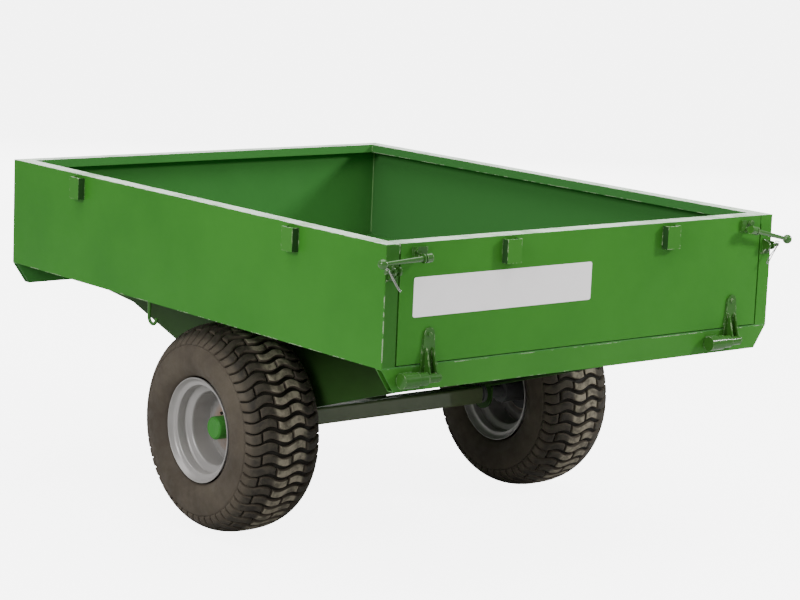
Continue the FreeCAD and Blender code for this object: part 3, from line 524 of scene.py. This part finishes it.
def top_level(level, s):
    """Height mark of a block, which fades on the shoulder so that it takes the wall's colour."""
    return level * (1 - 0.3 * ease(84, 110, abs(s)))


def rubbed(s):
    """Share of wear and dust: all of it on the middle columns and none on the outer ones."""
    return 1 - ease(33, 42, abs(s))


def add_block(verts, faces, height, contact, side, s0, s1, middle):
    """One tread block: drafted walls out of the groove, a small chamfer and a crowned top."""
    across, along = max(4, round((s1 - s0) / 4.5)), 4
    draft, chamfer, root = 1.3, 0.8, 0.9
    rings = []
    for inset, level in ((-draft, 0.0), (0.0, 0.85), (chamfer, 1.0)):
        ring = []
        low, high = s0 + inset, s1 - inset
        spots = [(low + (high - low) * i / across, -1) for i in range(across)]
        spots += [(high, -1 + 2 * j / along) for j in range(along)]
        spots += [(high - (high - low) * i / across, 1) for i in range(across)]
        spots += [(low, 1 - 2 * j / along) for j in range(along)]
        for s, edge in spots:
            round_off = 0.8 + 1.2 * ease(80, 108, abs(s))
            depth = (floor_depth(s) + root, round_off, 0.0)[len(rings)]
            ring.append(len(verts))
            verts.append(on_tyre(side, s, depth, middle + bar_edge(side, s, edge, inset)))
            height.append(top_level(level, s))
            contact.append(level * rubbed(s))
        rings.append(ring)
    for lower, upper in zip(rings, rings[1:]):
        n = len(lower)
        for k in range(n):
            faces.append((lower[k], lower[(k + 1) % n], upper[(k + 1) % n], upper[k]))
    top = rings[-1]
    n = len(top)
    grid = {}
    for i in range(across + 1):
        grid[i, 0] = top[i]
        grid[i, along] = top[2 * across + along - i]
    for j in range(along + 1):
        grid[across, j] = top[across + j]
        grid[0, j] = top[(n - j) % n]
    for i in range(1, across):
        for j in range(1, along):
            s = s0 + chamfer + (s1 - s0 - 2 * chamfer) * i / across
            grid[i, j] = len(verts)
            verts.append(on_tyre(side, s, 0.0,
                                 middle + bar_edge(side, s, -1 + 2 * j / along, chamfer)))
            height.append(top_level(1.0, s))
            contact.append(rubbed(s))
    for i in range(across):
        for j in range(along):
            faces.append((grid[i, j], grid[i + 1, j], grid[i + 1, j + 1], grid[i, j + 1]))


def tyre_rubber():
    """Turf-tyre rubber: dusty middle blocks, dark outer blocks, brown walls, and grooves darkened
    to near black as painted shade.
    """
    rubber = bpy.data.materials.new("tyre_rubber")
    rubber.use_nodes = True
    tree = rubber.node_tree
    shader = tree.nodes["Principled BSDF"]
    level = add(tree, "ShaderNodeAttribute", attribute_name="tread_height")
    contact = add(tree, "ShaderNodeAttribute", attribute_name="tread_contact")
    dust = use_group(tree, mottle, Scale=42.0, Low=0.34, High=0.62)["Mask"]
    film = use_group(tree, mottle, Scale=7.0, Low=0.30, High=0.75)["Mask"]
    wall = mix_colour(tree, film, (0.050, 0.040, 0.030, 1), (0.088, 0.073, 0.054, 1))
    dark_top = mix_colour(tree, dust, (0.026, 0.022, 0.017, 1), (0.054, 0.046, 0.035, 1))
    dusty_top = mix_colour(tree, dust, (0.085, 0.074, 0.054, 1), (0.250, 0.220, 0.165, 1))
    tops = mix_colour(tree, contact.outputs["Fac"], dark_top, dusty_top)
    on_top = add(tree, "ShaderNodeMapRange", {"Value": level.outputs["Fac"],
                                              "From Min": 0.80, "From Max": 0.98})
    # Painted shade: low in the grooves the rubber turns near black.
    groove_shade = add(tree, "ShaderNodeMapRange", {"Value": level.outputs["Fac"],
                                                 "From Min": 0.30, "From Max": 0.0})
    base = mix_colour(tree, on_top.outputs["Result"], wall, tops)
    base = mix_colour(tree, groove_shade.outputs["Result"], base, (0.011, 0.009, 0.006, 1))
    tree.links.new(base, shader.inputs["Base Color"])
    rough = add(tree, "ShaderNodeMapRange", {"Value": dust, "To Min": 0.58, "To Max": 0.82})
    tree.links.new(rough.outputs["Result"], shader.inputs["Roughness"])
    spots = add(tree, "ShaderNodeTexCoord")
    grain = add(tree, "ShaderNodeTexNoise", {"Vector": spots.outputs["Object"],
                                             "Scale": 420.0, "Detail": 4.0})
    bump = add(tree, "ShaderNodeBump", {"Height": grain.outputs["Fac"], "Strength": 0.25,
                                        "Distance": 0.0006})
    tree.links.new(bump.outputs["Normal"], shader.inputs["Normal"])
    shader.inputs["Specular IOR Level"].default_value = 0.2
    return rubber


def point_values(mesh, name, values):
    """Keeps one value a vertex, for the material to read."""
    layer = mesh.attributes.new(name, "FLOAT", "POINT")
    layer.data.foreach_set("value", values)


def consistent(piece, sharp=None):
    """Outward normals, and creases where the surface turns by more than sharp degrees."""
    mended = bmesh.new()
    mended.from_mesh(piece.data)
    bmesh.ops.recalc_face_normals(mended, faces=mended.faces)
    for line in mended.edges:
        if sharp and len(line.link_faces) == 2:
            line.smooth = line.calc_face_angle() < math.radians(sharp)
    mended.to_mesh(piece.data)
    mended.free()


rubber = tyre_rubber()
carcass_turns = 216
half_stations = 56
stations = [skin_length[-1] * (i / half_stations)
            for i in range(-half_stations, half_stations + 1)]
for name, side in SIDES:
    verts, faces, height = [], [], []
    for turn in range(carcass_turns):
        angle = 2 * math.pi * turn / carcass_turns
        for s in stations:
            ridge = ridge_high * math.exp(-((abs(s) - ridge_at) / ridge_wide) ** 2)
            sunk = floor_depth(s) + wall_sink * ease(110, 124, abs(s))
            verts.append(on_tyre(side, s, sunk - ridge, angle))
            # Groove floors get the lowest mark, which the rubber paints with painted shade.
            height.append(0.0 if floor_depth(s) > 3 else 0.45)
    count = len(stations)
    for turn in range(carcass_turns):
        after = (turn + 1) % carcass_turns
        for k in range(count - 1):
            faces.append((turn * count + k, turn * count + k + 1, after * count + k + 1,
                          after * count + k))
    contact = [0.0] * len(verts)
    for bar in range(tread_bars):
        gaps = (-2 * column, 0, 2 * column) if bar % 2 else (-column, column)
        cuts = (-tread_end, *gaps, tread_end)
        for low, high in zip(cuts, cuts[1:]):
            s0 = low + brick_gap / 2 * (low > -tread_end)
            s1 = high - brick_gap / 2 * (high < tread_end)
            middle = (bar + 0.5) * 2 * math.pi / tread_bars
            add_block(verts, faces, height, contact, side, s0, s1, middle)
    piece = mesh_piece("turf_tyre_" + name, verts, faces, rubber, "wheel_" + name,
                       replaces=["tyre_" + name])
    point_values(piece.data, "tread_height", height)
    point_values(piece.data, "tread_contact", contact)
    consistent(piece)


# ---- Wheels: rims and caps ----------------------------------------------------------------
# Pressed rims in silver-grey enamel, with rolled flanges, a deep barrel and a stepped disc
# welded in, lightly rusted round the hub, and a rubber valve. A green cap with a shallow
# dimple is pushed on each hub.
def enamel(name, colour, shade, smooth):
    """Half-gloss silver enamel with a mottled rust stain round the hub."""
    silver = gloss_paint(name, colour, shade, (0.20, 0.18, 0.16), smooth=smooth, coat=0.1,
                         peel=0.05, wear_and_glint=0.5)
    tree = silver.node_tree
    shader = tree.nodes["Principled BSDF"]
    shader.inputs["Metallic"].default_value = 0.35
    spots = add(tree, "ShaderNodeTexCoord")
    centred = add(tree, "ShaderNodeVectorMath", {0: spots.outputs["Object"],
                                                 1: (-axle_x * MM, 0, -axle_z * MM)},
                  operation="ADD")
    flat = add(tree, "ShaderNodeVectorMath", {0: centred.outputs["Vector"], 1: (1, 0, 1)},
               operation="MULTIPLY")
    from_hub = add(tree, "ShaderNodeVectorMath", {0: flat.outputs["Vector"]},
                   operation="LENGTH")
    near_hub = add(tree, "ShaderNodeMapRange", {"Value": from_hub.outputs["Value"],
                                                "From Min": 0.064, "From Max": 0.036})
    blotch = use_group(tree, mottle, Scale=32.0, Low=0.30, High=0.52)["Mask"]
    rusty = add(tree, "ShaderNodeMath", {0: near_hub.outputs["Result"], 1: blotch},
                operation="MULTIPLY")
    painted = shader.inputs["Base Color"].links[0].from_socket
    tree.links.new(mix_colour(tree, rusty.outputs["Value"], painted, (0.31, 0.20, 0.14, 1)),
                   shader.inputs["Base Color"])
    return silver


silver_enamel = enamel("silver_enamel", (0.37, 0.355, 0.345), (0.30, 0.29, 0.28), 0.36)
cap_green = gloss_paint("cap_green", (0.052, 0.235, 0.040), (0.040, 0.190, 0.032),
                        (0.10, 0.30, 0.08), smooth=0.34)
hub_grey = gloss_paint("hub_grey", (0.10, 0.10, 0.10), (0.07, 0.07, 0.07),
                       (0.30, 0.30, 0.30), smooth=0.42)
hub_edge = 0.4
finish_nodes(hub_grey, hub_edge, "hub_left", "hub_right", "spindle_left", "spindle_right",
             "pivot_bushes")

rim_low, rim_high = corners_mm("rim_left")
flange_r = (rim_high[0] - rim_low[0]) / 2
flange_half = (rim_high[1] - rim_low[1]) / 2
seat_r = 101.6
seat_half = flange_half - 14
disc_face = 9.0
disc_weld_r = 81.5
sheet = 3.0
weld_ripples = 72
valve_angle = math.radians(309)
valve_r, valve_out = 86, 50
rim_turns, cap_turns = 128, 64


def rounded(points, radius):
    """Each corner of an outline replaced by three points on a small curve."""
    out = []
    n = len(points)
    for i, here in enumerate(points):
        before, after = Vector(points[i - 1]), Vector(points[(i + 1) % n])
        here = Vector(here)
        back, on = before - here, after - here
        cut = min(radius, back.length * 0.45, on.length * 0.45)
        start, end = here + back.normalized() * cut, here + on.normalized() * cut
        out += [start, (start + end) / 4 + here / 2, end]
    return out


def lathe(verts, faces, side, outline, turns):
    """Turns a closed outline of (outward, radius) points about the wheel's axis."""
    base = len(verts)
    n = len(outline)
    for turn in range(turns):
        angle = 2 * math.pi * turn / turns
        for a, radius in outline:
            verts.append(Vector((axle_x + radius * math.sin(angle), side * (wheel_y + a),
                                 axle_z + radius * math.cos(angle))) * MM)
    for turn in range(turns):
        after = (turn + 1) % turns
        for k in range(n):
            nxt = (k + 1) % n
            faces.append((base + turn * n + k, base + turn * n + nxt,
                          base + after * n + nxt, base + after * n + k))


def disc_weld(verts, faces, side, face_at):
    """A rippled bead all round the disc, where it meets the barrel."""
    steps = weld_ripples * 4
    base = len(verts)
    for k in range(steps):
        angle = 2 * math.pi * k / steps
        swell = 1.6 + 0.5 * abs(math.sin(angle * weld_ripples / 2))
        for turn in range(6):
            bend = turn * math.pi / 3
            radius = disc_weld_r + 0.1 + swell * math.cos(bend)
            a = face_at + swell * math.sin(bend)
            verts.append(Vector((axle_x + radius * math.sin(angle), side * (wheel_y + a),
                                 axle_z + radius * math.cos(angle))) * MM)
    for k in range(steps):
        nxt = (k + 1) % steps
        for turn in range(6):
            on = (turn + 1) % 6
            faces.append((base + k * 6 + turn, base + k * 6 + on, base + nxt * 6 + on,
                          base + nxt * 6 + turn))


def valve_stem(side):
    """A rubber valve with its cap, which stands out of the barrel and leans to the axle."""
    verts, faces = [], []
    round_x, round_z = math.sin(valve_angle), math.cos(valve_angle)
    start = Vector((valve_r * round_x, side * (wheel_y + valve_out), valve_r * round_z))
    along = Vector((-0.45 * round_x, side * 0.9, -0.45 * round_z)).normalized()
    across = along.orthogonal().normalized()
    third = along.cross(across)
    profile = [(0, 6.0), (2, 6.2), (4, 4.8), (14, 3.2), (15, 3.7), (23, 3.7), (24.3, 3.0),
               (24.4, 0.01)]
    turns = 20
    for up, radius in profile:
        for turn in range(turns):
            angle = 2 * math.pi * turn / turns
            out = across * math.cos(angle) + third * math.sin(angle)
            place = start + along * up + out * radius
            verts.append((place + Vector((axle_x, 0, axle_z))) * MM)
    for k in range(len(profile) - 1):
        for turn in range(turns):
            on = (turn + 1) % turns
            faces.append((k * turns + turn, k * turns + on, (k + 1) * turns + on,
                          (k + 1) * turns + turn))
    faces.append(tuple(range(turns)))
    return verts, faces


outer_half = [(flange_half + 1.4, flange_r + 0.6), (flange_half - 4, flange_r - 0.2),
              (seat_half + 3, flange_r - 5), (seat_half, flange_r - 10), (seat_half, seat_r),
              (seat_half - 14, seat_r - 0.8), (seat_half - 17, seat_r),
              (seat_half - 21, seat_r - 2.0), (52, 86.0), (47, 84.5)]
inner_half = [(flange_half + 2.2, flange_r - 1.6), (flange_half - 0.6, flange_r - sheet),
              (seat_half + 5, flange_r - 7), (seat_half + 2.6, flange_r - 11),
              (seat_half + 2.4, seat_r - 1.5), (seat_half + 0.5, seat_r - 2.8)
              ] + [(a - 0.5, radius - sheet) for a, radius in outer_half[5:]]
barrel = outer_half + [(-a, radius) for a, radius in reversed(outer_half)]
barrel += [(-a, radius) for a, radius in inner_half] + list(reversed(inner_half))
cap_low, cap_high = corners_mm("hub_cap_left")
cap_r = (cap_high[0] - cap_low[0]) / 2
cap_end = cap_high[1] - wheel_y
disc = [(disc_face, cap_r + 0.4), (disc_face, 57), (disc_face - 1.5, 60), (1, 63), (0, 66),
        (0, disc_weld_r), (-sheet, disc_weld_r), (-sheet, 64), (disc_face - 4, 57),
        (disc_face - sheet, 55), (disc_face - sheet, cap_r + 0.4)]
cap = [(disc_face - sheet + 0.2, cap_r - 3), (disc_face - sheet + 0.2, cap_r),
       (cap_end - 4, cap_r), (cap_end - 0.6, cap_r - 3.4), (cap_end, cap_r - 4.6),
       (cap_end - 0.4, cap_r - 6), (cap_end - 1.2, cap_r - 8), (cap_end - 1.4, 0.01),
       (cap_end - 2.4, 0.01), (cap_end - 4.5, cap_r - 3)]
for name, side in SIDES:
    verts, faces = [], []
    lathe(verts, faces, side, rounded(barrel, 2.2), rim_turns)
    lathe(verts, faces, side, rounded(disc, 2.0), rim_turns)
    disc_weld(verts, faces, side, -sheet - 0.6)
    disc_weld(verts, faces, side, 0.6)
    consistent(mesh_piece("pressed_rim_" + name, verts, faces, silver_enamel,
                          "wheel_" + name, replaces=["rim_" + name]),
               sharp=35)
    verts, faces = [], []
    lathe(verts, faces, side, rounded(cap, 1.2), cap_turns)
    consistent(mesh_piece("pushed_cap_" + name, verts, faces, cap_green, "wheel_" + name,
                          replaces=["hub_cap_" + name]), sharp=35)
    verts, faces = valve_stem(side)
    consistent(mesh_piece("valve_stem_" + name, verts, faces, rubber, "wheel_" + name), sharp=40)


# ---- Blank plate --------------------------------------------------------------------------
# A plain white adhesive film with round corners and nothing printed on it, lightly soiled. It
# is stuck on the left half of the tailgate's outer face.
gate_low = corners_mm("tailgate_panel")[0]
film_low, film_high = (-5.0, 597.0), (476.0, 678.0)
film_corner = 5.0
film_out, film_in = 0.5, 0.2
film_white = bpy.data.materials.new("film_white")
film_white.use_nodes = True
film_tree = film_white.node_tree
film_shader = film_tree.nodes["Principled BSDF"]
film_soil = use_group(film_tree, mottle, Scale=9.0, Low=0.45, High=0.8)["Mask"]
film_tree.links.new(mix_colour(film_tree, film_soil, (1.0, 0.97, 0.97, 1),
                               (0.94, 0.91, 0.91, 1)), film_shader.inputs["Base Color"])
film_shader.inputs["Roughness"].default_value = 0.28
outline = []
for cy, cz, start in ((film_high[0] - film_corner, film_high[1] - film_corner, 0),
                      (film_low[0] + film_corner, film_high[1] - film_corner, 90),
                      (film_low[0] + film_corner, film_low[1] + film_corner, 180),
                      (film_high[0] - film_corner, film_low[1] + film_corner, 270)):
    for k in range(6):
        angle = math.radians(start + k * 18)
        outline.append((cy + film_corner * math.cos(angle), cz + film_corner * math.sin(angle)))
verts = [Vector((gate_low[0] + x, y, z)) * MM for x in (-film_out, film_in)
         for y, z in outline]
rim = len(outline)
faces = [tuple(range(rim))]
for k in range(rim):
    nxt = (k + 1) % rim
    faces.append((k, nxt, rim + nxt, rim + k))
consistent(mesh_piece("blank_plate", verts, faces, film_white, "tailgate", smooth=False))


# ---- Spring clips -------------------------------------------------------------------------
# A bright wire clip hangs from each keeper's cross pin and keeps the lever from rattling out.
# It is bent from 2 mm zinc-plated spring wire into a hairpin that leans inward.
def plated(name):
    """Zinc plating, clouded and a little dulled."""
    wire = bpy.data.materials.new(name)
    wire.use_nodes = True
    tree = wire.node_tree
    shader = tree.nodes["Principled BSDF"]
    cloud = use_group(tree, mottle, Scale=120.0, Low=0.4, High=0.7)["Mask"]
    base = mix_colour(tree, cloud, (0.42, 0.43, 0.41, 1), (0.26, 0.26, 0.23, 1))
    tree.links.new(base, shader.inputs["Base Color"])
    rough = add(tree, "ShaderNodeMapRange", {"Value": cloud, "To Min": 0.24, "To Max": 0.42})
    tree.links.new(rough.outputs["Result"], shader.inputs["Roughness"])
    shader.inputs["Metallic"].default_value = 0.9
    return wire


def wire_piece(name, points, radius, material, body):
    """Round wire along a smooth line through its points, in millimetres."""
    line = bpy.data.curves.new(name, "CURVE")
    line.dimensions = "3D"
    line.bevel_depth = radius * MM
    line.bevel_resolution = 4
    line.resolution_u = 8
    line.use_fill_caps = True
    run = line.splines.new("NURBS")
    run.points.add(len(points) - 1)
    for point, place in zip(run.points, points):
        point.co = (*[v * MM for v in place], 1)
    run.order_u = 3
    run.use_endpoint_u = True
    line.materials.append(material)
    piece = bpy.data.objects.new(name, line)
    bpy.context.scene.collection.objects.link(piece)
    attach(piece, body)


zinc_wire = plated("zinc_wire")
cross_pin_in, cross_pin_up = 9.5, 19
wire_r = 1.0
for name, side in SIDES:
    keeper_low, keeper_high = corners_mm("latch_keeper_" + name)
    pin_x = keeper_low[0] + cross_pin_in
    pin_z = keeper_low[2] + cross_pin_up
    tip_y = (keeper_high[1] if side > 0 else -keeper_low[1]) - 5
    legs = ((-7, 1, 4.6), (-5.4, -4, -6), (-4.6, -15, -21), (-5.0, -25, -36), (-5.6, -30, -41),
            (-4.0, -33, -40), (-2.8, -28, -33), (-3.2, -17, -18), (-6.2, -7, -7),
            (-2.0, 0, 2.4), (4.5, 1, 5.4), (3.0, 2, 8), (-7, 2, 7))
    line = [(pin_x + x, side * (tip_y + y), pin_z + z) for x, y, z in legs]
    wire_piece("spring_clip_" + name, line, wire_r, zinc_wire, "bed")


# ---- Welds and fasteners on the fittings --------------------------------------------------
# Stake pockets, hinge sleeves, straps and keepers are held by short rippled fillets. The
# parking leg turns on a zinc-plated bolt with a hexagon head and nut.
pocket_wide = 38
pocket_fillet, keeper_fillet, strap_fillet, sleeve_fillet = 1.7, 1.8, 1.5, 3.4
sleeve_long = 38
sleeve_half = 12.5
strap_half, strap_flare, strap_taper = 15.5, 1.16, 0.92
post_fold = 30


def pocket_edges(low, high):
    """Where the fillets beside a pair of stake pockets stand, along the sheet."""
    toe = 0.3
    for start in (low, high - pocket_wide):
        yield start - toe
        yield start + pocket_wide + toe


verts, faces = [], []
for name, side in SIDES:
    pocket_low, pocket_high = corners_mm("stake_pockets_" + name)
    wall_y = side * (wall_inner_y + 2)
    for x in pocket_edges(pocket_low[0], pocket_high[0]):
        weld_bead(verts, faces, [(x, wall_y, pocket_low[2] + 8),
                                 (x, wall_y, pocket_high[2] - 10)], pocket_fillet, seed=x)
    hinge_low, hinge_high = corners_mm("hinge_pin_" + name)
    sleeve_x = floor_low[0] - 5.5
    sleeve_z = (hinge_low[2] + hinge_high[2]) / 2
    for z in (sleeve_z - sleeve_half, sleeve_z + sleeve_half):
        weld_bead(verts, faces, [(sleeve_x, hinge_high[1] - sleeve_long, z),
                                 (sleeve_x, hinge_high[1] - 2, z)], sleeve_fillet,
                  ripple=6.0, seed=z)
    keeper_foot = corners_mm("latch_keeper_" + name)[0][2] - 0.4
    post_y = wall_inner_y - post_fold
    weld_bead(verts, faces, [(floor_low[0] - 0.5, side * (post_y + 1), keeper_foot),
                             (floor_low[0] - 0.5, side * (wall_inner_y - 1), keeper_foot)],
              keeper_fillet, seed=7)
mesh_piece("fitting_welds", verts, faces, fitting_green, "bed")

verts, faces = [], []
gate_pocket_low, gate_pocket_high = corners_mm("gate_stake_pockets")
for y in pocket_edges(gate_pocket_low[1], gate_pocket_high[1]):
    weld_bead(verts, faces, [(gate_low[0], y, gate_pocket_low[2] + 8),
                             (gate_low[0], y, gate_pocket_high[2] - 10)],
              pocket_fillet, seed=y)
for name, side in SIDES:
    strap_low, strap_high = corners_mm("hinge_strap_" + name)
    middle = (strap_low[1] + strap_high[1]) / 2
    strap_x = gate_low[0] - 0.6
    for reach in (-strap_half, strap_half):
        weld_bead(verts, faces, [(strap_x, middle + reach * strap_flare, gate_low[2] + 5),
                                 (strap_x, middle + reach * strap_taper,
                                  strap_high[2] - 18)], strap_fillet, seed=reach)
mesh_piece("gate_welds", verts, faces, fitting_green, "tailgate")

bolt_across, bolt_head = 19, 8


def hexagon(verts, faces, centre, across, thick, side):
    """Chamfered hexagon head on an axis along Y."""
    r = across / 2 / math.cos(math.pi / 6)
    levels = [(0, r), (thick * 0.82, r), (thick, r * 0.86)]
    base = len(verts)
    for out, radius in levels:
        for k in range(6):
            angle = k * math.pi / 3
            verts.append(Vector((centre[0] + radius * math.cos(angle),
                                 centre[1] + side * out,
                                 centre[2] + radius * math.sin(angle))) * MM)
    for level in range(2):
        for k in range(6):
            on = (k + 1) % 6
            low_k, high_k = base + level * 6, base + level * 6 + 6
            faces.append((low_k + k, low_k + on, high_k + on, high_k + k))
    faces.append(tuple(base + 12 + k for k in range(6)))
    faces.append(tuple(base + k for k in range(6)))


bracket_low, bracket_high = corners_mm("leg_bracket")
fold = next(j for j in frame["joints"] if j["name"] == "parking_leg_fold")
bolt_x, bolt_z = fold["pos_m"][0] / MM, fold["pos_m"][2] / MM
verts, faces = [], []
for side in (-1, 1):
    y = bracket_high[1] if side > 0 else bracket_low[1]
    hexagon(verts, faces, (bolt_x, y, bolt_z), bolt_across, bolt_head, side)
consistent(mesh_piece("leg_bolt_heads", verts, faces, zinc_wire, "chassis", smooth=False), sharp=20)


bpy.context.view_layer.update()
low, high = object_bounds()
